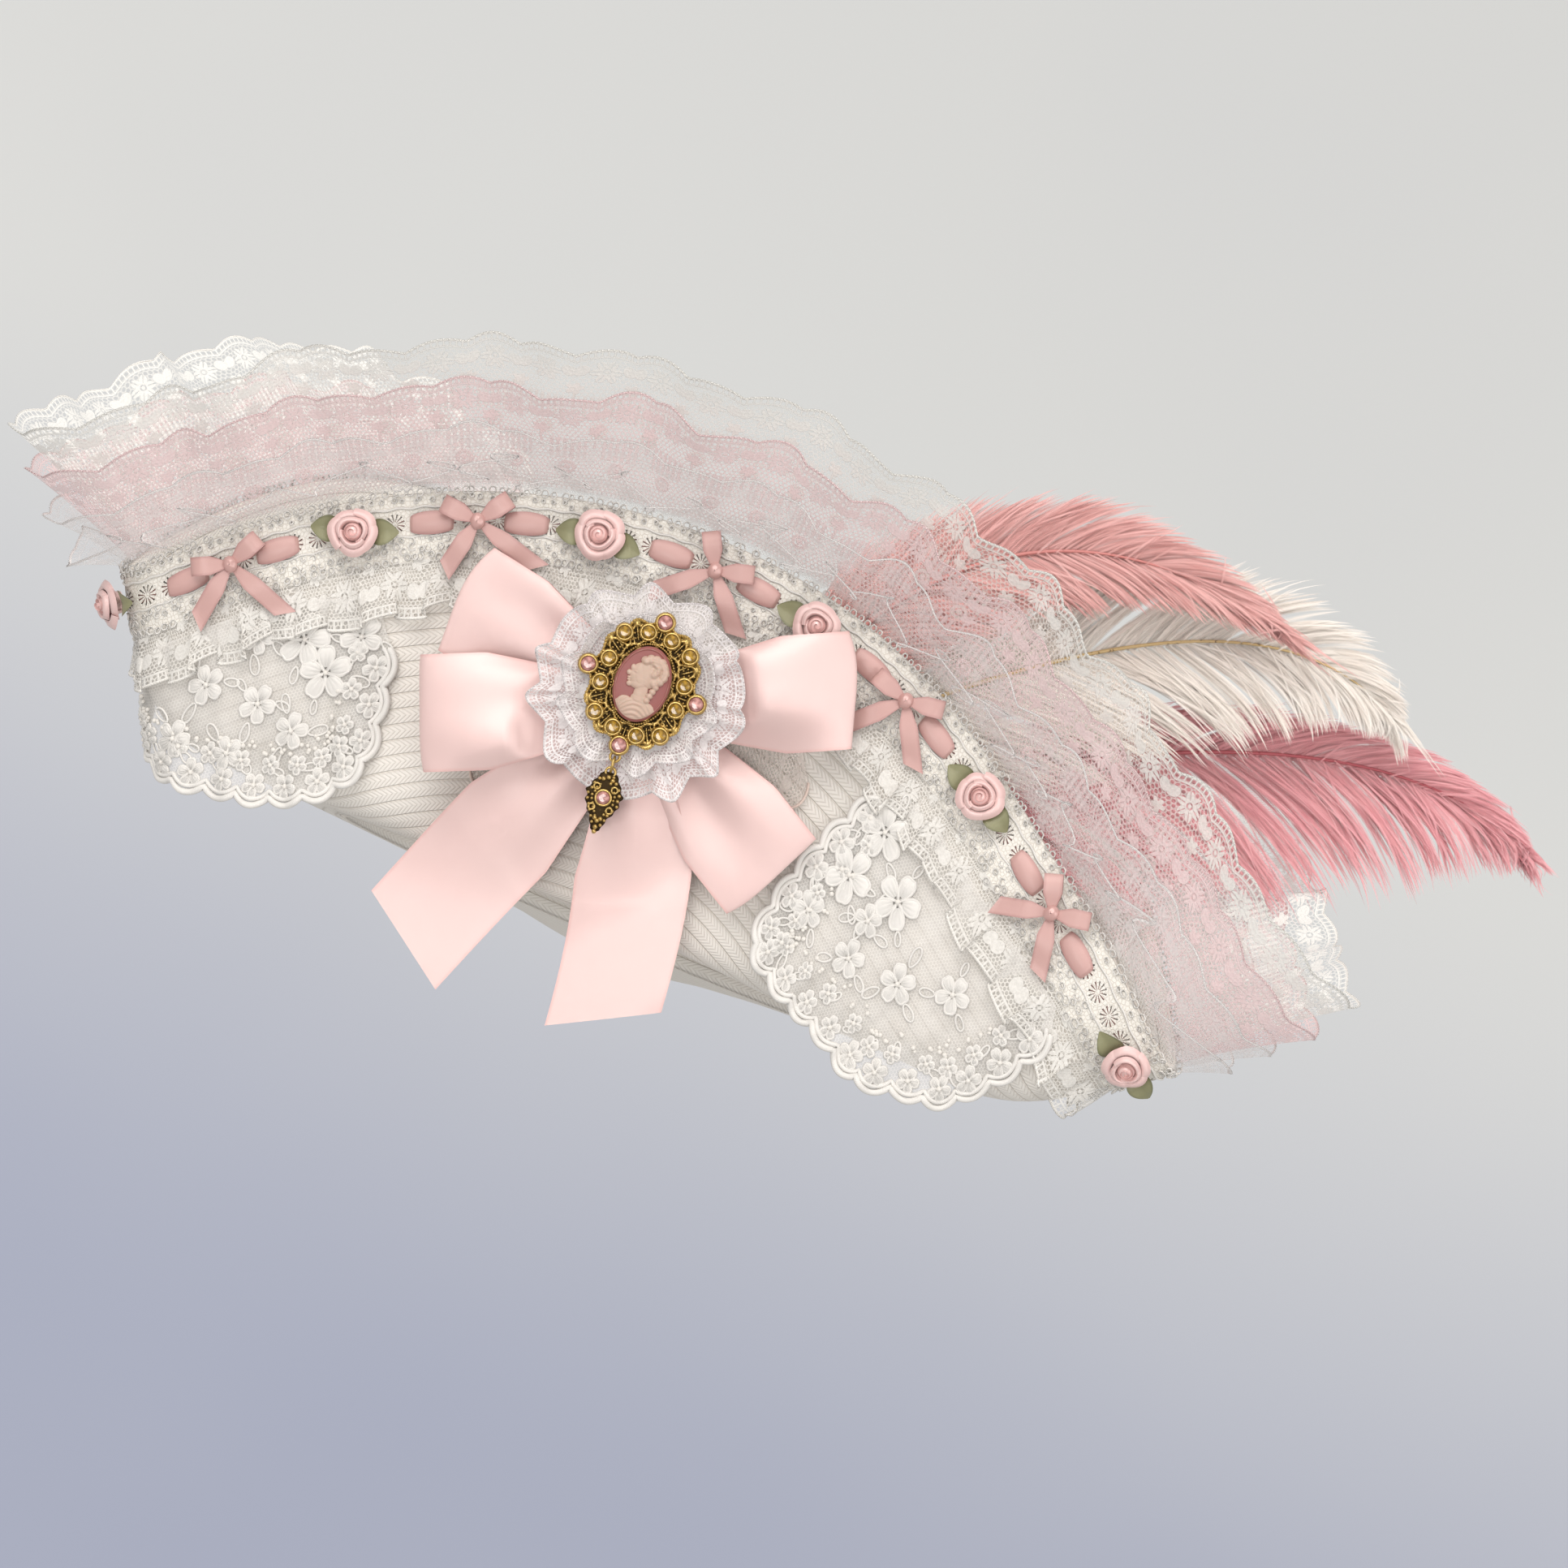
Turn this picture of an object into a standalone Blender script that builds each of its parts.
"""A ribboned tricorn hat: straw crown and brim, gathered lace tiers, satin bow, cameo brooch, plumes.

Metres, +Z up along the wearer's head. The origin is the centre of the head opening, on its plane.
The front corner of the brim points along -Y, and the wearer's left is +X.
"""
import math

import bmesh
import bpy
import numpy as np
from mathutils import Matrix, Vector

MM = 0.001

# Head opening and straw
HEAD_LENGTH = 194 * MM
HEAD_WIDTH = 166 * MM
STRAW_WALL = 2.0 * MM
CROWN_HEIGHT = 105 * MM
SEAM_GAP = 0.5 * MM
CROWN_SIDES = 24

# Brim: a flat ring whose three sides are folded up
BRIM_RADIUS = 228 * MM
FOLD_SIDE = 99 * MM
FOLD_BACK = 102 * MM
FOLD_RUN = 24 * MM
LEAN_FRONT = 78.5
LEAN_REAR = 86.0
LEAN_BACK = 68.0
TIP_LIFT_FRONT = -4 * MM
TIP_LIFT_REAR = -14 * MM
TIP_PULL_FRONT = 3 * MM
TIP_PULL_REAR = 17 * MM
TIP_SPREAD = 27.0
TIP_ROOM = 3 * MM
TIP_ROUNDING = 9.0
KEEL_SHARE = 0.45

# Gathered lace on the brim's edge
CLOTH_WALL = 1.0 * MM
PIECE_GAP = 0.4 * MM
TIER_BASE = 1.1 * MM
TIER_PITCH = 1.6 * MM
TIER_STEP = 0.9 * MM
GATHERS = 27
IVORY_HEIGHT = 60 * MM
PINK_HEIGHT = 46 * MM
WHITE_HEIGHT = 32 * MM
CURLED_HEIGHT = 18 * MM
UPRIGHT_FRONT = 0.45
UPRIGHT_REAR = 1.4
UPRIGHT_REACH = 20.0

# Trimming on the brim's outer face
BAND_HEIGHT = 22 * MM
BAND_WALL = 1.2 * MM
BAND_GAP = 0.5 * MM
BAND_DROP = 0.4 * MM
THREAD_GAP = 0.8 * MM
THREAD_WIDTH = 6.0 * MM
THREAD_WALL = 0.6 * MM
PANEL_WALL = 1.0 * MM
PANEL_DROP = 100 * MM
FRILL_HEIGHT = 21 * MM
FRILL_WAVE = 1.6 * MM
FRILL_SPREAD = 4.6 * MM
TRIM_LINE = 10 * MM
SPRIGS = 15
ROSE_WIDTH = 16 * MM
ROSE_HEIGHT = 8 * MM
LEAF_SPAN = 27 * MM
LEAF_WIDTH = 8 * MM
TIE_SPAN = 29 * MM
TIE_DROP = 14 * MM
TIE_WALL = 2.4 * MM

# Satin bow
RIBBON_WIDTH = 38 * MM
RIBBON_PINCH = 13 * MM
BOW_ANGLE = 57.5
BOW_DROP = 60 * MM
BOW_HEART = 8 * MM
BOW_LIFT = 9.5 * MM
LOOP_REACH = 72 * MM
TAIL_REACH = 104 * MM

# Lace rosette and brooch
ROSETTE_RADIUS = 34 * MM
ROSETTE_LIFT = 18.6 * MM
ROSETTE_RISE = 4 * MM
ROSETTE_WAVE = 2.2 * MM
ROSETTE_CUP = 10.5 * MM
BROOCH_LENGTH = 42 * MM
BROOCH_WIDTH = 35 * MM
BROOCH_WALL = 2.4 * MM
BROOCH_RISE = 7.5 * MM
CAMEO_LENGTH = 25 * MM
CAMEO_WIDTH = 18 * MM
CAMEO_HEIGHT = 3.0 * MM
STONE_RADIUS = 2.3 * MM
SCALLOPS = 12
SCALLOP_DEPTH = 0.05
RING_RADIUS = 2.6 * MM
RING_WIRE = 0.8 * MM
EYE_RADIUS = 1.6 * MM
EYE_WIRE = 0.9 * MM
DROP_LENGTH = 20 * MM
DROP_WIDTH = 12 * MM
DROP_WALL = 2.2 * MM
DROP_SWING = math.radians(5.0)

# Plumes
PLUME_WALL = 3.0 * MM
PLUME_REACH = 160 * MM
PLUME_BREADTH = 34 * MM
QUILL_HALF = 3.2 * MM

BAND_FOOT = BAND_DROP + BAND_HEIGHT
BAND_LIFT = STRAW_WALL / 2 + BAND_GAP + BAND_WALL / 2
THREAD_LIFT = BAND_LIFT + BAND_WALL / 2 + THREAD_GAP + THREAD_WALL / 2
SPRIG_LIFT = THREAD_LIFT + THREAD_WALL / 2 + PIECE_GAP
STATIONS = 60
STATION_CROWDING = 9.5

# One row for each side of the brim: its name, the heading of its middle in degrees from the
# front corner towards the wearer's left, the distance of its fold from the centre, and its lean
# above the horizontal at the end nearer the front and at the other end.
SIDES = (
    dict(name="left", heading=60.0, fold=FOLD_SIDE, lean_near=LEAN_FRONT, lean_far=LEAN_REAR),
    dict(name="back", heading=180.0, fold=FOLD_BACK, lean_near=LEAN_BACK, lean_far=LEAN_BACK),
    dict(name="right", heading=300.0, fold=FOLD_SIDE, lean_near=LEAN_REAR, lean_far=LEAN_FRONT),
)

# Crown sections from the head opening to the top: shares of the crown's height and of its plan.
CROWN_SECTIONS = (
    dict(height=0.0, plan=1.0),
    dict(height=0.42, plan=0.985),
    dict(height=0.68, plan=0.93),
    dict(height=0.86, plan=0.78),
    dict(height=0.96, plan=0.50),
)

# Lace tiers, from the one nearest the head outwards: name, height, its outward flop in degrees,
# how far its gathers swing, as a share of its height, and how many rows of faces it has.
TIERS = (
    dict(name="ruffle_ivory", height=IVORY_HEIGHT, flop=38.0, swing=0.075, rows=1, slot="lace_ivory"),
    dict(name="ruffle_pink", height=PINK_HEIGHT, flop=43.0, swing=0.085, rows=1, slot="lace_pink"),
    dict(name="ruffle_white", height=WHITE_HEIGHT, flop=52.0, swing=0.10, rows=1, slot="lace_white"),
    dict(name="ruffle_curled", height=CURLED_HEIGHT, flop=67.0, swing=0.12, rows=1, slot="lace_white"),
)

# Loops of the satin bow: heading of the loop in the bow's own plane in degrees, its length as a
# share of LOOP_REACH, and the heights above the brim at the heart, and of its under and upper side
# at its fullest, as shares of BOW_LIFT.
LOOPS = (
    dict(name="bow_loop_upper_front", heading=169.0, length=0.944, heart=1.0, under=1.07, upper=1.54),
    dict(name="bow_loop_lower_rear", heading=-31.0, length=1.014, heart=1.0, under=1.07, upper=1.54),
    dict(name="bow_loop_front", heading=-157.0, length=0.986, heart=1.65, under=1.71, upper=2.63),
    dict(name="bow_loop_rear", heading=25.0, length=1.0, heart=1.65, under=1.71, upper=2.63),
)

# Tails of the satin bow: heading, length as a share of TAIL_REACH, and the heights above the brim
# at heart, middle and end as shares of BOW_LIFT.
TAILS = (
    dict(name="bow_tail_front", heading=-115.0, length=1.0, heart=1.24, middle=1.31, end=0.95),
    dict(name="bow_tail_rear", heading=-72.0, length=0.942, heart=1.41, middle=1.62, end=1.26),
)

# Lace panels on the left side: headings of a column, and how far its top and its lower edge lie
# below the brim's edge, as shares of PANEL_DROP. Each hangs straight down the side past the fold.
LACE_PANELS = (
    dict(
        name="lace_panel_front",
        columns=(
            dict(heading=-5.0, top=0.45, foot=0.58),
            dict(heading=0.0, top=0.45, foot=0.66),
            dict(heading=6.5, top=0.44, foot=0.76),
            dict(heading=13.5, top=0.40, foot=0.91),
            dict(heading=19.0, top=0.36, foot=0.95),
            dict(heading=25.5, top=0.36, foot=0.88),
            dict(heading=28.5, top=0.38, foot=0.50),
        ),
    ),
    dict(
        name="lace_underlay",
        columns=(
            dict(heading=35.0, top=0.54, foot=0.66),
            dict(heading=38.0, top=0.49, foot=0.98),
            dict(heading=43.0, top=0.48, foot=1.07),
            dict(heading=57.0, top=0.48, foot=0.80),
            dict(heading=70.0, top=0.48, foot=0.98),
            dict(heading=76.0, top=0.48, foot=0.94),
            dict(heading=81.0, top=0.52, foot=0.64),
        ),
    ),
    dict(
        name="lace_panel_rear",
        columns=(
            dict(heading=86.0, top=0.44, foot=1.04),
            dict(heading=91.0, top=0.42, foot=1.06),
            dict(heading=97.0, top=0.36, foot=1.02),
            dict(heading=104.0, top=0.36, foot=0.97),
            dict(heading=108.5, top=0.38, foot=0.99),
            dict(heading=112.5, top=0.40, foot=0.84),
            dict(heading=116.5, top=0.44, foot=0.70),
        ),
    ),
)

# Plumes: where the quill leaves the crown, as shares of the crown's length and height, three more
# points of its curve from there as shares of PLUME_REACH, the breadth of its vane above and below
# the quill as shares of PLUME_BREADTH, and how far it turns outwards to its tip, in degrees.
PLUMES = (
    dict(
        name="plume_rose",
        root=(-0.10, 0.63),
        clear=7 * MM,
        quill=((0.0375, 0.125, 0.494), (0.1375, 0.375, 0.8375), (0.4125, 0.8875, 0.70)),
        above=0.59,
        below=0.77,
        turn=34.0,
        slot="plume_rose",
    ),
    dict(
        name="plume_ivory",
        root=(-0.05, 0.63),
        clear=5 * MM,
        quill=((0.075, 0.25, 0.275), (0.275, 0.8125, 0.90), (0.431, 1.175, 0.6375)),
        above=0.47,
        below=1.0,
        turn=30.0,
        slot="plume_ivory",
    ),
    dict(
        name="plume_deep_rose",
        root=(0.08, 0.59),
        clear=3 * MM,
        quill=((0.119, 0.4625, 0.35), (0.325, 1.056, 0.725), (0.4875, 1.4375, 0.55)),
        above=0.41,
        below=0.88,
        turn=38.0,
        slot="plume_deep_rose",
    ),
)
PLUME_ROWS = 13

MATERIALS = {
    "straw": ((0.86, 0.83, 0.78), 0.75, 0.0),
    "lace_ivory": ((0.90, 0.86, 0.78), 0.85, 0.0),
    "lace_pink": ((0.93, 0.72, 0.74), 0.85, 0.0),
    "lace_white": ((0.93, 0.92, 0.92), 0.85, 0.0),
    "satin_pink": ((0.93, 0.66, 0.63), 0.35, 0.0),
    "ribbon_rose": ((0.72, 0.42, 0.42), 0.40, 0.0),
    "rose_satin": ((0.93, 0.60, 0.60), 0.45, 0.0),
    "antique_gold": ((0.55, 0.38, 0.12), 0.35, 1.0),
    "cameo": ((0.62, 0.42, 0.38), 0.45, 0.0),
    "plume_rose": ((0.72, 0.33, 0.36), 0.90, 0.0),
    "plume_ivory": ((0.90, 0.86, 0.80), 0.90, 0.0),
    "plume_deep_rose": ((0.66, 0.25, 0.31), 0.90, 0.0),
}


def clear_scene():
    """Removes every object of the startup scene."""
    for obj in list(bpy.data.objects):
        bpy.data.objects.remove(obj)


def material(name):
    """The finish of that name, made once."""
    found = bpy.data.materials.get(name)
    if found:
        return found
    colour, roughness, metallic = MATERIALS[name]
    made = bpy.data.materials.new(name)
    made.use_nodes = True
    shader = made.node_tree.nodes["Principled BSDF"]
    shader.inputs["Base Color"].default_value = (*colour, 1.0)
    shader.inputs["Roughness"].default_value = roughness
    shader.inputs["Metallic"].default_value = metallic
    return made


def collection_named(name):
    """A collection of the scene, made once."""
    found = bpy.data.collections.get(name)
    if not found:
        found = bpy.data.collections.new(name)
        bpy.context.scene.collection.children.link(found)
    return found


def place(name, mesh, slot, matrix=None):
    """An object of the hat with that mesh, finish and place."""
    if not mesh.materials:
        mesh.materials.append(material(slot))
    obj = bpy.data.objects.new(name, mesh)
    collection_named("tricorn_hat").objects.link(obj)
    if matrix is not None:
        obj.matrix_world = matrix
    return obj


def grid_mesh(name, grid, closed=False, pole=None):
    """A surface of triangles through grid, rows by columns by 3. closed joins the last column to the
    first, and pole closes the last row with a fan to one point."""
    rows, columns = grid.shape[:2]
    index = np.arange(rows * columns).reshape(rows, columns)
    right = np.roll(index, -1, axis=1) if closed else index[:, 1:]
    left = index if closed else index[:, :-1]
    lower = np.stack([left[:-1], right[:-1], right[1:]], axis=-1).reshape(-1, 3).tolist()
    upper = np.stack([left[:-1], right[1:], left[1:]], axis=-1).reshape(-1, 3).tolist()
    faces = lower + upper
    points = grid.reshape(-1, 3).tolist()
    if pole is not None:
        points.append(list(pole))
        faces += [[a, b, len(points) - 1] for a, b in zip(left[-1].tolist(), right[-1].tolist())]
    mesh = bpy.data.meshes.new(name)
    mesh.from_pydata(points, [], faces)
    mesh.update()
    return mesh


def solidify(obj, thickness, offset=0.0, even=False):
    """Gives an open surface its wall. Offset 1 puts it all on the side that the faces look to."""
    wall = obj.modifiers.new("wall", "SOLIDIFY")
    wall.thickness = thickness
    wall.offset = offset
    wall.use_even_offset = even
    return wall


def heading_vector(degrees):
    """Unit vectors in plan, from the centre towards headings measured from the front corner."""
    angle = np.radians(degrees)
    return np.stack([np.sin(angle), -np.cos(angle), np.zeros_like(angle)], axis=-1)


def corner_distance(degrees):
    """Degrees from a heading to the nearest corner of the brim."""
    return np.abs((degrees + 60.0) % 120.0 - 60.0)


def last_turn(side, lean):
    """Degrees from a side's middle to where its folded edge nearly meets the next side's."""
    turns = np.arange(40.0, 60.0, 0.05)
    beyond = BRIM_RADIUS * np.cos(np.radians(turns)) - side["fold"]
    reach = side["fold"] + beyond * math.cos(math.radians(lean))
    room = reach * math.sin(math.radians(60.0)) - BRIM_RADIUS * np.sin(np.radians(turns)) / 2
    return turns[np.argmin(np.abs(room - TIP_ROOM))]


def rounded(rail, window):
    """The closed rail after a weighted moving average over a window of headings each way."""
    reach = int(window * len(rail) / 360.0)
    weights = np.hanning(2 * reach + 3)[1:-1]
    weights /= weights.sum()
    around = np.concatenate([rail[-reach:], rail, rail[:reach]])
    columns = [np.convolve(around[:, axis], weights, "valid") for axis in range(3)]
    return np.stack(columns, axis=-1)


def fine_rails():
    """The brim's fold and edge as closed curves, one point each half degree. Each side of a flat ring
    turns up about a straight fold, which keeps the distances along it."""
    headings = np.arange(0.25, 360.0, 0.5)
    fold = np.zeros((len(headings), 3))
    edge = np.zeros((len(headings), 3))
    for side in SIDES:
        across = headings - side["heading"]
        across = (across + 180.0) % 360.0 - 180.0
        own = (across >= -60.0) & (across < 60.0)
        turn = np.radians(across[own])
        ends = np.where(turn < 0, last_turn(side, side["lean_near"]), last_turn(side, side["lean_far"]))
        swept = turn * ends / 60.0
        out = heading_vector(np.full(own.sum(), side["heading"]))
        along = np.stack([-out[:, 1], out[:, 0], out[:, 2]], axis=-1)
        share = 0.5 + across[own] / 120.0
        lean = np.radians(side["lean_near"] + (side["lean_far"] - side["lean_near"]) * share)
        beyond = BRIM_RADIUS * np.cos(swept) - side["fold"]
        reach = side["fold"] + beyond * np.cos(lean)
        edge[own] = along * (BRIM_RADIUS * np.sin(swept))[:, None] + out * reach[:, None]
        edge[own, 2] += beyond * np.sin(lean)
        fold[own] = along * (side["fold"] * np.tan(turn))[:, None] + out * side["fold"]
    near_tip = np.exp(-((corner_distance(headings) / TIP_SPREAD) ** 2))
    front = np.minimum(headings, 360.0 - headings) < 60.0
    lift = np.where(front, TIP_LIFT_FRONT, TIP_LIFT_REAR) * near_tip
    tip = np.exp(-((corner_distance(headings) / (TIP_SPREAD / 2)) ** 2))
    pull = np.where(front, TIP_PULL_FRONT, TIP_PULL_REAR) * tip
    edge += heading_vector(headings) * pull[:, None]
    edge[:, 2] += lift
    fold[:, 2] += lift * KEEL_SHARE
    edge, fold = rounded(edge, TIP_ROUNDING), rounded(fold, TIP_ROUNDING * 1.6)
    edge[:, 2] += STRAW_WALL / 2
    fold[:, 2] += STRAW_WALL / 2
    return headings, fold, edge


FINE_HEADINGS, FINE_FOLD, FINE_EDGE = fine_rails()


def unit(vectors):
    """Vectors of length 1 in the same directions."""
    return vectors / np.linalg.norm(vectors, axis=-1, keepdims=True)


def station_headings():
    """Headings of the brim's stations, which lie closer together at the corners."""
    steps = np.arange(STATIONS) * 360.0 / STATIONS
    return steps - STATION_CROWDING * np.sin(np.radians(3 * steps))


def at_headings(rail, degrees):
    """Points of a closed fine rail at headings in degrees."""
    wrapped = np.mod(degrees, 360.0)
    columns = [np.interp(wrapped, FINE_HEADINGS, rail[:, axis], period=360.0) for axis in range(3)]
    return np.stack(columns, axis=-1)


def brim_stations():
    """Heading, edge point and unit vector down the side at each station."""
    headings = station_headings()
    edge = at_headings(FINE_EDGE, headings)
    return headings, edge, unit(at_headings(FINE_FOLD, headings) - edge)


BRIM_STATIONS = brim_stations()


def brim_axes(degrees, drop=0.0):
    """Points at headings, a drop below the edge, with the directions down the side and along it and
    the outward vector. They lie on the straight lines between the stations, so that every trimming
    is parallel to the straw, and a move by the outward vector is one unit off the facets beside it."""
    headings, edge, down = BRIM_STATIONS
    points = edge + down * drop
    after = unit(np.cross(down + np.roll(down, -1, axis=0), np.roll(points, -1, axis=0) - points))
    before = np.roll(after, 1, axis=0)
    outward = (after + before) / (1.0 + np.sum(after * before, axis=-1, keepdims=True))
    along = unit(np.roll(points, -1, axis=0) - np.roll(points, 1, axis=0))
    found = []
    for values in (points, down, along, outward):
        columns = [np.interp(degrees, headings, values[:, axis], period=360.0) for axis in range(3)]
        found.append(np.stack(columns, axis=-1))
    return found


def on_brim(degrees, drop, lift):
    """Points below the brim's edge by drop, and lift away from the middle of the straw."""
    drops = np.broadcast_to(drop, degrees.shape)
    lifts = np.broadcast_to(lift, degrees.shape)
    found = []
    for degree, below, off in zip(degrees, drops, lifts):
        point, _, _, outward = brim_axes(degree, below)
        found.append(point + outward * off)
    return np.array(found)


def seat(heading, drop, lift):
    """Where an ornament sits on the brim: X along the edge, Y up the side, Z outwards."""
    point, _, along, outward = brim_axes(heading, drop)
    ahead = unit(outward)
    side = unit(along - ahead * np.dot(along, ahead))
    turned = Matrix(np.stack([side, np.cross(ahead, side), ahead], axis=-1).tolist()).to_4x4()
    turned.translation = Vector((point + outward * lift).tolist())
    return turned


def oval(length, width, count):
    """Points round an oval with its long axis along Y, starting at the front."""
    angles = np.arange(count) * 2 * np.pi / count
    ring = np.stack([np.sin(angles) * width / 2, -np.cos(angles) * length / 2], axis=-1)
    return np.column_stack([ring, np.zeros(count)])


def crown():
    """The dome that the head goes into, open below."""
    plan = oval(HEAD_LENGTH, HEAD_WIDTH, CROWN_SIDES)
    rings = [plan * section["plan"] + [0, 0, section["height"] * CROWN_HEIGHT] for section in CROWN_SECTIONS]
    mesh = grid_mesh("crown", np.array(rings), closed=True, pole=(0, 0, CROWN_HEIGHT))
    solidify(place("crown", mesh, "straw"), STRAW_WALL, offset=1.0)


def brim_sections(degrees):
    """The brim's middle surface: from the head opening out to the fold, round it, and up the side."""
    rim_growth = 2 * (STRAW_WALL + SEAM_GAP)
    angles = np.radians(degrees)
    rim = np.stack(
        [np.sin(angles) * (HEAD_WIDTH + rim_growth) / 2, -np.cos(angles) * (HEAD_LENGTH + rim_growth) / 2,
         np.full_like(angles, STRAW_WALL / 2)], axis=-1)
    fold, edge = at_headings(FINE_FOLD, degrees), at_headings(FINE_EDGE, degrees)
    inward, upward = rim - fold, edge - fold
    run_in = np.minimum(0.5, FOLD_RUN / np.linalg.norm(inward, axis=-1))[:, None]
    height = np.linalg.norm(upward, axis=-1)
    run_up = np.minimum(FOLD_RUN, height - BAND_FOOT - FOLD_RUN / 4) / height
    start, end = fold + inward * run_in, fold + upward * run_up[:, None]
    middle = (start + 2 * fold + end) / 4
    band_foot = edge - upward * (BAND_FOOT / height)[:, None]
    return np.array([rim, start, middle, end, band_foot, edge])


def brim():
    """The straw brim, flat at the head and folded up on its three sides."""
    mesh = grid_mesh("brim", brim_sections(station_headings()), closed=True)
    solidify(place("brim", mesh, "straw"), STRAW_WALL, even=True)


def tier_frame(degrees, flop):
    """The brim's edge, its upward and outward vectors, and the directions of a tier's rise and outer
    side. The tier flops outwards from the side by an angle, and stands more upright towards the
    corners, most of all at the two rear ones."""
    edge, down, along, outward = brim_axes(degrees)
    upward = unit(np.cross(outward, along))
    near = np.exp(-((corner_distance(degrees) / UPRIGHT_REACH) ** 2))
    turned = np.mod(degrees, 360.0)
    front = np.minimum(turned, 360.0 - turned) < 60.0
    upright = np.where(front, UPRIGHT_FRONT, UPRIGHT_REAR) * near
    up = unit(unit(-down) + np.array([0.0, 0.0, 1.0]) * upright[:, None])
    out = unit(outward)
    out = unit(out - up * np.sum(out * up, axis=-1, keepdims=True))
    angle = math.radians(flop) * (1.0 - np.where(front, 0.0, 0.4) * near)[:, None]
    rise = up * np.cos(angle) + out * np.sin(angle)
    side = out * np.cos(angle) - up * np.sin(angle)
    return edge, upward, outward, rise, side


def tier(spec, layer):
    """One gathered lace tier on the brim's edge. Its gathers are waves that grow with its height."""
    count = 4 * GATHERS
    degrees = np.arange(count) * 360.0 / count
    edge, upward, outward, rise, side = tier_frame(degrees, spec["flop"])
    wave = np.sin(np.radians(degrees * GATHERS) + math.pi / 4) * spec["swing"] * spec["height"]
    base = edge + outward * (layer - (len(TIERS) - 1) / 2) * TIER_PITCH
    base = base + upward * (TIER_BASE + (len(TIERS) - 1 - layer) * TIER_STEP)
    shares = np.linspace(0.0, 1.0, spec["rows"] + 1)
    grid = [base + rise * spec["height"] * s + side * (wave * s)[:, None] for s in shares]
    mesh = grid_mesh(spec["name"], np.array(grid), closed=True)
    solidify(place(spec["name"], mesh, spec["slot"]), CLOTH_WALL)


def strip_round(name, slot, top, foot, lift, wall):
    """A flat strip all round the brim's outer face, from top to foot below the edge."""
    headings = station_headings()
    grid = np.array([on_brim(headings, drop, lift) for drop in (foot, top)])
    solidify(place(name, grid_mesh(name, grid, closed=True), slot), wall, even=True)


def beading():
    """The eyelet lace over the edge, and the ribbon threaded along it."""
    strip_round("beading_lace", "lace_ivory", BAND_DROP, BAND_FOOT, BAND_LIFT, BAND_WALL)
    half = THREAD_WIDTH / 2
    top, foot = TRIM_LINE - half, TRIM_LINE + half
    strip_round("threaded_ribbon", "ribbon_rose", top, foot, THREAD_LIFT, THREAD_WALL)


def frill():
    """The gathered frill that hangs below the eyelet lace."""
    headings = station_headings()
    wave = np.where(np.arange(STATIONS) % 2, FRILL_WAVE, -FRILL_WAVE)
    top = BAND_FOOT + PIECE_GAP
    top_lift = STRAW_WALL / 2 + BAND_GAP + CLOTH_WALL / 2
    grid = np.array([
        on_brim(headings, top + FRILL_HEIGHT, top_lift + FRILL_SPREAD + wave),
        on_brim(headings, top, top_lift),
    ])
    solidify(place("frill", grid_mesh("frill", grid, closed=True), "lace_ivory"), CLOTH_WALL)


def outline_mesh(name, points, thickness):
    """A flat outline of x, y points, as a plate from z 0 up to its thickness."""
    curve = bpy.data.curves.new(name, "CURVE")
    curve.dimensions = "2D"
    curve.fill_mode = "BOTH"
    curve.extrude = thickness / 2
    spline = curve.splines.new("POLY")
    spline.points.add(len(points) - 1)
    for point, (x, y) in zip(spline.points, points):
        point.co = (x, y, 0.0, 1.0)
    spline.use_cyclic_u = True
    helper = bpy.data.objects.new(name + "_outline", curve)
    bpy.context.scene.collection.objects.link(helper)
    bpy.context.view_layer.update()
    mesh = bpy.data.meshes.new_from_object(helper.evaluated_get(bpy.context.evaluated_depsgraph_get()))
    bpy.data.objects.remove(helper)
    mesh.transform(Matrix.Translation((0, 0, thickness / 2)))
    work = bmesh.new()
    work.from_mesh(mesh)
    bmesh.ops.remove_doubles(work, verts=work.verts, dist=1e-6)
    bmesh.ops.recalc_face_normals(work, faces=work.faces)
    work.to_mesh(mesh)
    work.free()
    return mesh


def turned_mesh(name, profile, sides):
    """A solid turned about Z through (radius, height) rows, closed by a fan at each end."""
    angles = np.arange(sides) * 2 * np.pi / sides
    circle = np.stack([np.cos(angles), np.sin(angles)], axis=-1)
    rings = [np.column_stack([circle * radius, np.full(sides, height)]) for radius, height in profile[1:-1]]
    mesh = grid_mesh(name, np.array(rings), closed=True, pole=(0, 0, profile[-1][1]))
    work = bmesh.new()
    work.from_mesh(mesh)
    foot = work.verts.new((0, 0, profile[0][1]))
    loop = sorted((e for e in work.edges if e.is_boundary), key=lambda e: e.index)
    for edge in loop:
        work.faces.new((edge.verts[0], edge.verts[1], foot))
    bmesh.ops.recalc_face_normals(work, faces=work.faces)
    work.to_mesh(mesh)
    work.free()
    return mesh


def joined(name, meshes):
    """The Boolean union of closed meshes, as one mesh."""
    cutters = collection_named("cutters")
    helpers = []
    for number, mesh in enumerate(meshes):
        helper = bpy.data.objects.new(f"{name}_piece_{number}", mesh)
        cutters.objects.link(helper)
        helpers.append(helper)
    for helper in helpers[1:]:
        union = helpers[0].modifiers.new("union", "BOOLEAN")
        union.operation = "UNION"
        union.object = helper
    bpy.context.view_layer.update()
    graph = bpy.context.evaluated_depsgraph_get()
    mesh = bpy.data.meshes.new_from_object(helpers[0].evaluated_get(graph))
    for helper in helpers:
        bpy.data.objects.remove(helper)
    mesh.materials.clear()
    return mesh


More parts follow.
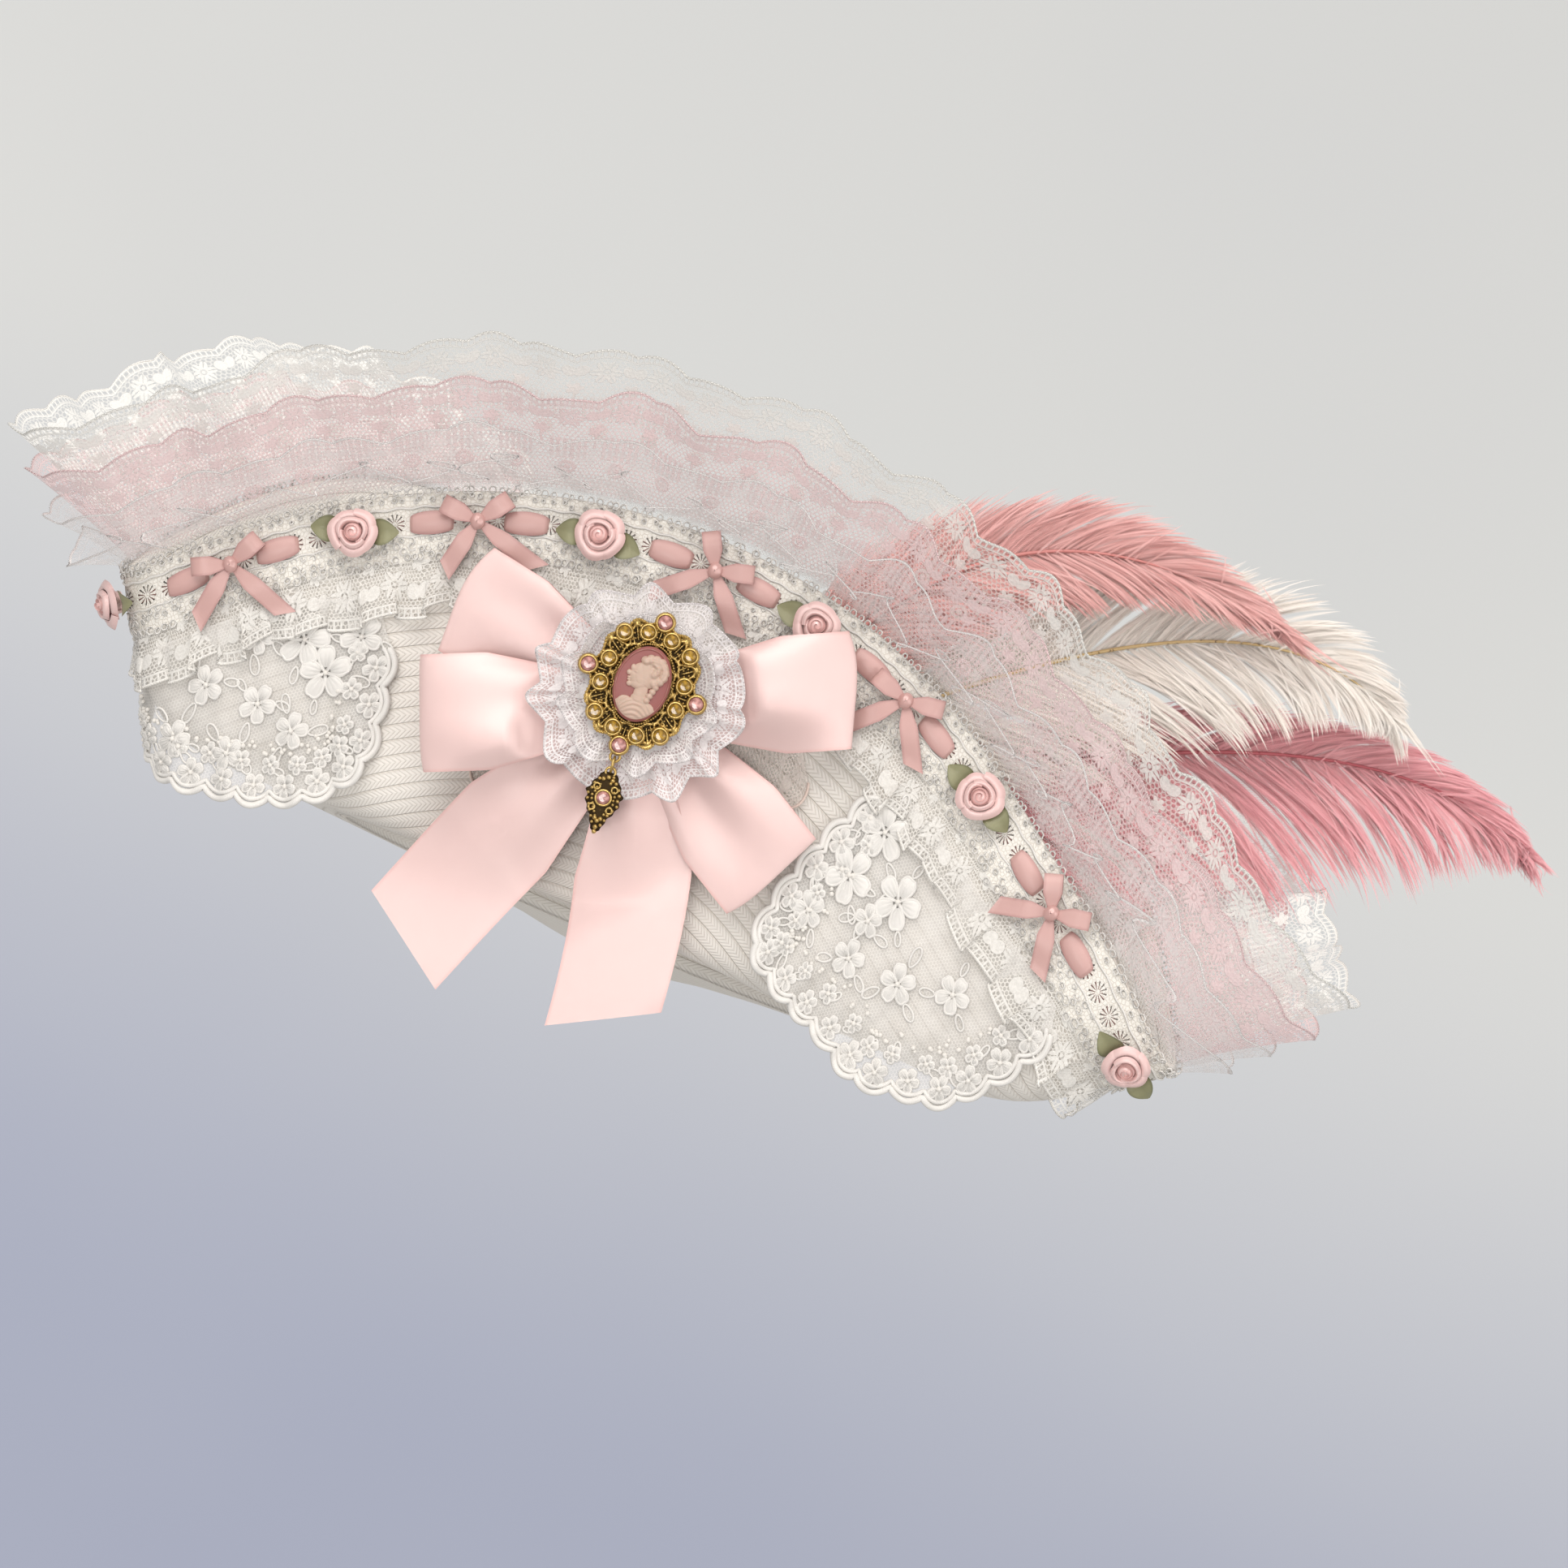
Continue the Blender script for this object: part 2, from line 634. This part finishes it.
def rose_mesh():
    """A folded ribbon rose on its pair of leaves."""
    half, height = ROSE_WIDTH / 2, ROSE_HEIGHT
    bud = turned_mesh(
        "bud",
        ((0, 0.6 * MM), (half, height * 0.45), (half * 0.66, height), (0, height * 0.82)),
        7)
    span, width = LEAF_SPAN / 2, LEAF_WIDTH / 2
    leaf = ((span, 0), (span * 0.68, width), (-span * 0.68, width), (-span, 0), (-span * 0.68, -width),
            (span * 0.68, -width))
    leaves = outline_mesh("leaves", leaf, 1.4 * MM)
    return joined("rose", [bud, leaves])


def tie_mesh():
    """A small tied ribbon bow: two loops, a knot and two tails, as one plate."""
    span, width = TIE_SPAN / 2, THREAD_WIDTH / 2
    half = ((width * 0.4, width * 0.6), (span * 0.9, width * 1.2), (span, -width * 0.6),
            (width * 1.3, -width * 0.5), (span * 0.80, -TIE_DROP * 0.82), (span * 0.50, -TIE_DROP),
            (width * 0.3, -width * 1.3))
    outline = list(half) + [(-x, y) for x, y in reversed(half)]
    return outline_mesh("tie", outline, TIE_WALL)


def sprigs():
    """Roses and small bows by turns along the threaded ribbon, a rose at each corner."""
    rose, tie = rose_mesh(), tie_mesh()
    pitch = 360.0 / SPRIGS
    for number in range(SPRIGS):
        at_rose, at_tie = number * pitch, (number + 0.5) * pitch
        place(f"rose_{number + 1:02d}", rose, "rose_satin", seat(at_rose, TRIM_LINE, SPRIG_LIFT))
        place(f"ribbon_tie_{number + 1:02d}", tie, "ribbon_rose", seat(at_tie, TRIM_LINE, SPRIG_LIFT))


def bow_seat():
    """Where the satin bow's heart sits: on the left side, a little before its middle."""
    return seat(BOW_ANGLE, BOW_DROP, 0.0)


def across_ribbon(length_share):
    """Width of the satin ribbon, pinched at the bow's heart."""
    return RIBBON_PINCH + (RIBBON_WIDTH - RIBBON_PINCH) * np.clip(length_share / 0.42, 0, 1) ** 0.7


def ribbon_grid(out, height, heading, widths, crown_share=0.0, columns=3):
    """A ribbon whose middle runs out along a heading at a height, with columns across its width."""
    angle = math.radians(heading)
    along = np.array([math.cos(angle), math.sin(angle), 0.0])
    across = np.array([-along[1], along[0], 0.0])
    shares = np.linspace(-0.5, 0.5, columns)
    bulge = (0.25 - shares ** 2) * crown_share
    grid = out[:, None, None] * along + (widths[:, None] * shares)[..., None] * across
    grid[..., 2] += height[:, None] + bulge * widths[:, None]
    return grid


def satin_bow():
    """Four loops and two tails of wide satin ribbon, each flattened at the heart."""
    frame = bow_seat()
    for loop in LOOPS:
        turn = np.linspace(0.0, 1.0, 11)
        share = (1 - np.cos(2 * np.pi * turn)) / 2
        out = BOW_HEART + (loop["length"] * LOOP_REACH - BOW_HEART) * share
        full = np.sin(np.pi * np.clip(share / 0.9, 0, 1) * 0.5)
        heart = loop["heart"] * BOW_LIFT
        fall = heart + (loop["under"] * BOW_LIFT - heart) * full
        closed = heart + CLOTH_WALL + PIECE_GAP
        rise = closed + (loop["upper"] * BOW_LIFT - closed) * full
        middle = (fall + rise) / 2
        half = (rise - fall) / 2
        height = middle + half * np.sign(turn - 0.5) * np.sqrt(1 - share ** 6)
        grid = ribbon_grid(out, height, loop["heading"], across_ribbon(share))
        solidify(place(loop["name"], grid_mesh(loop["name"], grid), "satin_pink", frame), CLOTH_WALL)
    for tail in TAILS:
        share = np.linspace(0.0, 1.0, 7)
        out = BOW_HEART * 1.5 + (tail["length"] * TAIL_REACH - BOW_HEART) * share
        lifts = (tail["heart"], tail["middle"], tail["middle"], tail["end"])
        height = np.interp(share, (0, 0.3, 0.6, 1), lifts) * BOW_LIFT
        grid = ribbon_grid(out, height, tail["heading"], across_ribbon(share), columns=2)
        solidify(place(tail["name"], grid_mesh(tail["name"], grid), "satin_pink", frame), CLOTH_WALL)


def rosette():
    """The round of gathered lace under the brooch."""
    count = 32
    angles = np.arange(count) * 2 * np.pi / count
    circle = np.stack([np.cos(angles), np.sin(angles), np.zeros(count)], axis=-1)
    wave = np.sin(angles * 8 + np.pi / 4) * ROSETTE_WAVE
    between_loops = np.exp(-(((np.abs(np.sin(angles)) - 1.0) / 0.09) ** 2))
    cup = ROSETTE_CUP * (1.0 - 0.8 * between_loops)
    rings = []
    for share in (1.0, 0.45):
        ring = circle * ROSETTE_RADIUS * share
        ring[:, 2] = (wave + cup) * share ** 2
        rings.append(ring)
    mesh = grid_mesh("lace_rosette", np.array(rings), closed=True, pole=(0, 0, 0))
    frame = bow_seat() @ Matrix.Translation((0, ROSETTE_RISE, ROSETTE_LIFT))
    solidify(place("lace_rosette", mesh, "lace_white", frame), CLOTH_WALL)


BROOCH_LIFT = ROSETTE_LIFT + 6.6 * MM


def stone_ring():
    """Places of the brooch's stones: pairs between four end stones, and one in each quarter."""
    length, width = BROOCH_LENGTH / 2, BROOCH_WIDTH / 2
    places = [(0, length), (0, -length), (width + 1 * MM, 0), (-width - 1 * MM, 0)]
    for degrees in (75, 105, 255, 285):
        angle = math.radians(degrees)
        places.append((width * 0.88 * math.cos(angle), length * 0.80 * math.sin(angle)))
    for degrees in (14, -14, 166, 194):
        angle = math.radians(degrees)
        places.append((width * 0.76 * math.cos(angle), length * 0.80 * math.sin(angle)))
    for degrees in (46, 134, 226, 314):
        angle = math.radians(degrees)
        places.append((width * 0.92 * math.cos(angle), length * 0.90 * math.sin(angle)))
    return places


def stone_mesh(x, y, base):
    """A cut stone: eight facets rise from its girdle to a flat table."""
    work = bmesh.new()
    place_at = Matrix.Translation((x, y, base + 0.9 * MM))
    bmesh.ops.create_cone(
        work, cap_ends=True, segments=8, radius1=STONE_RADIUS, radius2=STONE_RADIUS * 0.6, depth=1.8 * MM,
        matrix=place_at)
    mesh = bpy.data.meshes.new("stone")
    work.to_mesh(mesh)
    work.free()
    return mesh


def brooch():
    """The brooch's gilt frame with its stones and lower loop, the cameo, the ring and the drop."""
    frame = bow_seat() @ Matrix.Translation((0, BROOCH_RISE, BROOCH_LIFT))
    count = 3 * SCALLOPS
    angles = np.arange(count) * 2 * np.pi / count
    scallop = 1.0 + SCALLOP_DEPTH * np.cos(angles * SCALLOPS)
    outline = np.stack(
        [np.cos(angles) * scallop * BROOCH_WIDTH / 2, np.sin(angles) * scallop * BROOCH_LENGTH / 2], axis=-1)
    plate = outline_mesh("plate", outline.tolist(), BROOCH_WALL)
    stones = [stone_mesh(x, y, BROOCH_WALL - 0.5 * MM) for x, y in stone_ring()]
    bezel = STONE_RADIUS + 0.4 * MM
    tab = turned_mesh("tab", ((0, 0), (bezel, 0), (bezel, BROOCH_WALL * 0.75), (0, BROOCH_WALL * 0.75)), 8)
    tab.transform(Matrix.Translation((0, -BROOCH_LENGTH / 2, 0.2 * MM)))
    eye_at = -BROOCH_LENGTH / 2 - bezel - EYE_RADIUS + 0.3 * MM
    eye = ring_torus(EYE_RADIUS, EYE_WIRE / 2, 8, 5)
    eye.transform(Matrix.Translation((0, eye_at, BROOCH_WALL / 2)))
    place("brooch_frame", joined("brooch_frame", [plate, tab] + stones + [eye]), "antique_gold", frame)

    cameo = turned_mesh(
        "cameo",
        ((0, 0), (0.5, 0), (0.5, CAMEO_HEIGHT * 0.4), (0.36, CAMEO_HEIGHT), (0, CAMEO_HEIGHT)),
        16)
    cameo.transform(Matrix.Diagonal((CAMEO_WIDTH, CAMEO_LENGTH, 1, 1)))
    place("brooch_cameo", cameo, "cameo", frame @ Matrix.Translation((0, 0, BROOCH_WALL + PIECE_GAP)))

    ring = ring_torus(RING_RADIUS, RING_WIRE / 2, 12, 6)
    swing = frame @ Matrix.Translation((0, eye_at, BROOCH_WALL / 2)) @ Matrix.Rotation(DROP_SWING, 4, "Z")
    hang = swing @ Matrix.Translation((0, -RING_RADIUS, 0))
    place("brooch_ring", ring, "antique_gold", hang @ Matrix.Rotation(math.radians(90.0), 4, "Y"))

    half, length = DROP_WIDTH / 2, DROP_LENGTH
    shape = ((half * 0.5, -length * 0.06), (half * 0.75, -length * 0.20), (half, -length * 0.34),
             (half * 0.85, -length * 0.58), (half * 0.5, -length * 0.74), (half * 0.25, -length * 0.95))
    outline = list(shape) + [(-x, y) for x, y in reversed(shape)]
    drop = outline_mesh("drop", outline, DROP_WALL)
    drop_stone = stone_mesh(0, -length * 0.42, DROP_WALL - 0.4 * MM)
    drop_eye = ring_torus(EYE_RADIUS, EYE_WIRE / 2, 8, 5)
    drop_eye.transform(Matrix.Translation((0, EYE_RADIUS - length * 0.06 - 0.3 * MM, DROP_WALL / 2)))
    down = -RING_RADIUS - EYE_RADIUS + length * 0.06 + 0.3 * MM
    place(
        "brooch_drop", joined("brooch_drop", [drop, drop_stone, drop_eye]), "antique_gold",
        hang @ Matrix.Translation((0, down, -DROP_WALL / 2)))


def ring_torus(radius, wire, around, sides):
    """A closed ring of round wire in the XY plane."""
    big = np.arange(around) * 2 * np.pi / around
    small = np.arange(sides) * 2 * np.pi / sides
    reach = radius + wire * np.cos(small)
    x = np.cos(big)[:, None] * reach
    y = np.sin(big)[:, None] * reach
    z = np.broadcast_to(wire * np.sin(small), x.shape)
    grid = np.stack([x, y, z], axis=-1)
    grid = np.concatenate([grid, grid[:1]])
    mesh = grid_mesh("ring", grid, closed=True)
    work = bmesh.new()
    work.from_mesh(mesh)
    bmesh.ops.remove_doubles(work, verts=work.verts, dist=1e-6)
    bmesh.ops.recalc_face_normals(work, faces=work.faces)
    work.to_mesh(mesh)
    work.free()
    return mesh


def lace_panels():
    """The lace panels on the left side, parallel to the straw between its stations."""
    lift = STRAW_WALL / 2 + BAND_GAP + PANEL_WALL / 2
    for panel in LACE_PANELS:
        columns = panel["columns"]
        given = np.array([column["heading"] for column in columns])
        stations = np.concatenate([station_headings() - 360.0, station_headings()])
        inside = stations[(stations > given[0] + 0.5) & (stations < given[-1] - 0.5)]
        headings = np.concatenate([given[:1], inside, given[-1:]])
        top = np.interp(headings, given, [column["top"] for column in columns]) * PANEL_DROP
        foot = np.interp(headings, given, [column["foot"] for column in columns]) * PANEL_DROP
        rows = [on_brim(headings, drop, lift) for drop in (foot, (top + foot) / 2, top)]
        mesh = grid_mesh(panel["name"], np.array(rows))
        solidify(place(panel["name"], mesh, "lace_white"), PANEL_WALL)


def bezier(points, shares):
    """A cubic curve through the four control points, at shares of its run, and its direction."""
    a, b, c, d = points
    t = shares[:, None]
    at = a * (1 - t) ** 3 + 3 * b * t * (1 - t) ** 2 + 3 * c * t ** 2 * (1 - t) + d * t ** 3
    way = 3 * ((b - a) * (1 - t) ** 2 + 2 * (c - b) * t * (1 - t) + (d - c) * t ** 2)
    return at, unit(way)


def plumes():
    """Ostrich plumes: a quill with a vane each side whose locks end in notches."""
    for plume in PLUMES:
        shares = np.linspace(0.0, 1.0, PLUME_ROWS)
        along, up = plume["root"]
        root = np.array([HEAD_WIDTH / 2 + plume["clear"], along * HEAD_LENGTH, up * CROWN_HEIGHT])
        at, way = bezier([root] + [root + np.array(p) * PLUME_REACH for p in plume["quill"]], shares)
        level = unit(np.array([0.92, -0.39, 0.0]) - way * (way @ np.array([0.92, -0.39, 0.0]))[:, None])
        drop = np.cross(way, level)
        turn = np.radians(plume["turn"] * shares)[:, None]
        hang = drop * np.cos(turn) + level * np.sin(turn)
        outward = level * np.cos(turn) - drop * np.sin(turn)
        full = np.sin(np.pi * np.clip(shares * 0.94 + 0.05, 0, 1)) ** 0.55 * np.clip(shares / 0.35, 0.08, 1)
        lock = 1.0 - 0.16 * (np.arange(PLUME_ROWS) % 2)
        above = np.maximum(plume["above"] * PLUME_BREADTH * full * lock, QUILL_HALF)[:, None]
        below = np.maximum(plume["below"] * PLUME_BREADTH * full * lock, QUILL_HALF)[:, None]
        crown_of_vane = PLUME_WALL * np.clip(full, 0.1, 1.0)[:, None]
        grid = np.stack([
            at - hang * above,
            at - hang * above * 0.5 + outward * crown_of_vane * 0.65,
            at + outward * crown_of_vane,
            at + hang * below * 0.5 + outward * crown_of_vane * 0.65,
            at + hang * below,
        ])
        mesh = grid_mesh(plume["name"], grid)
        solidify(place(plume["name"], mesh, plume["slot"]), PLUME_WALL)


def build():
    """Models the hat, piece by piece."""
    clear_scene()
    crown()
    brim()
    for layer, spec in enumerate(TIERS):
        tier(spec, layer)
    beading()
    frill()
    sprigs()
    lace_panels()
    satin_bow()
    rosette()
    brooch()
    plumes()


build()
